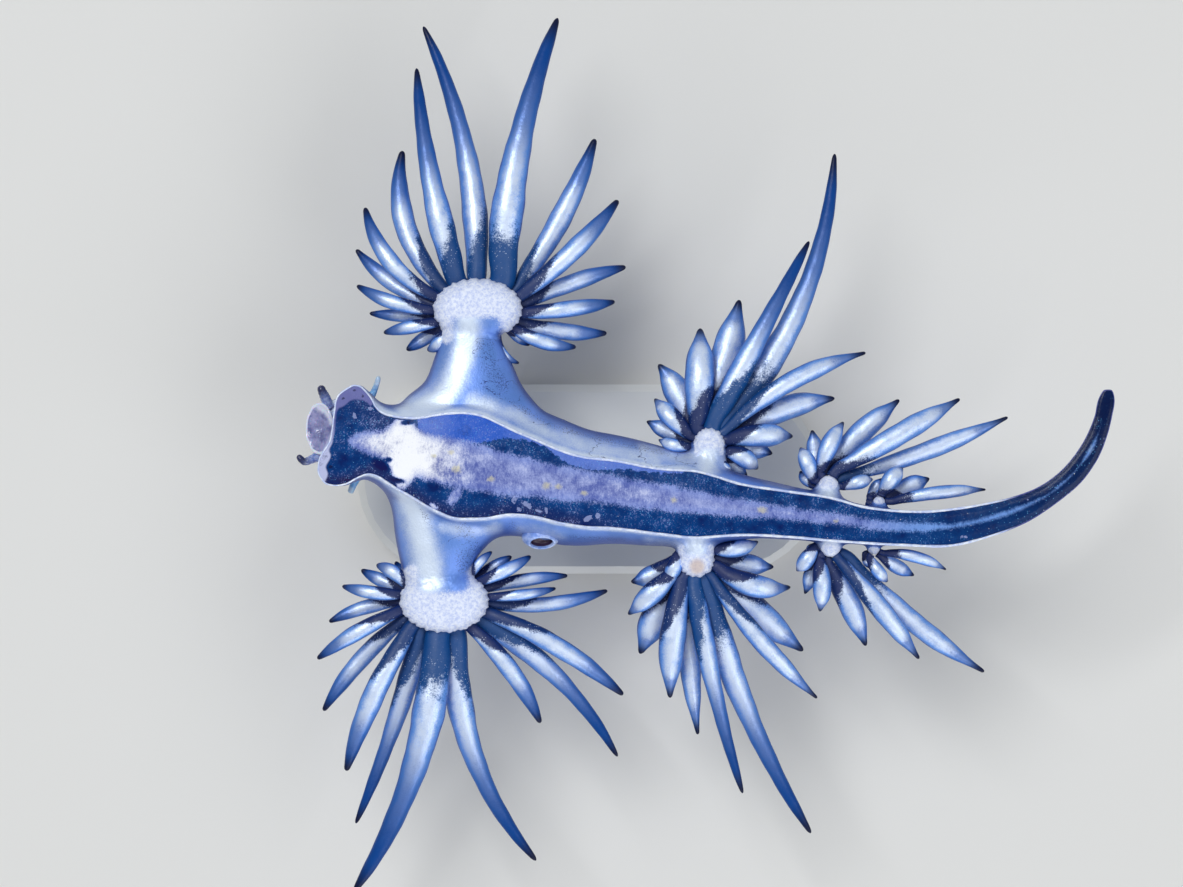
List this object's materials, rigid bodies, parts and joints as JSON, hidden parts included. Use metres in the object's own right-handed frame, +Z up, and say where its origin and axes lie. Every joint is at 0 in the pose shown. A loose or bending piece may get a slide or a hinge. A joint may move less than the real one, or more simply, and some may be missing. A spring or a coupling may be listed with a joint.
{
  "type": "blue dragon sea slug model on a display stand",
  "caption": "Life-size still model of a blue dragon sea slug, Glaucus atlanticus, floating foot side up with its fans of finger-like cerata spread, on a low stand with two rods.",
  "frame": {"origin": "on the floor, under the middle of the stand's base", "axes": "+Z up, which is the side of the animal's foot; the head points to -X; the animal's left side is +Y"},
  "size_m": [0.0377, 0.0409, 0.0107],
  "materials": {
    "body_skin": "wet silver-blue skin with dark specks",
    "sole_skin": "wet dark navy sole with a silver-white middle stripe and a pale rim",
    "cerata_skin": "wet, navy at the root and tip, silver-white along the middle",
    "feeler_skin": "wet pale blue",
    "stand_base": "satin white paint",
    "stand_rod": "brushed"
  },
  "bodies": {
    "root": {"head": "sole_skin", "oral_tentacle_left": "feeler_skin", "oral_tentacle_right": "feeler_skin", "rhinophore_left": "feeler_skin", "rhinophore_right": "feeler_skin", "trunk_front": "body_skin", "trunk_mid": "body_skin", "trunk_rear": "body_skin", "tail_base": "sole_skin", "tail_mid": "sole_skin", "tail_tip": "sole_skin", "arm_front_left": "body_skin", "arm_front_right": "body_skin", "cerata_front_left": "cerata_skin", "cerata_front_right": "cerata_skin", "cerata_mid_left": "cerata_skin", "cerata_mid_right": "cerata_skin", "cerata_rear_left": "cerata_skin", "cerata_rear_right": "cerata_skin", "cerata_last_left": "cerata_skin", "cerata_last_right": "cerata_skin", "stand_base": "stand_base", "stand_rod_front": "stand_rod", "stand_rod_rear": "stand_rod"}
  },
  "joints": []
}
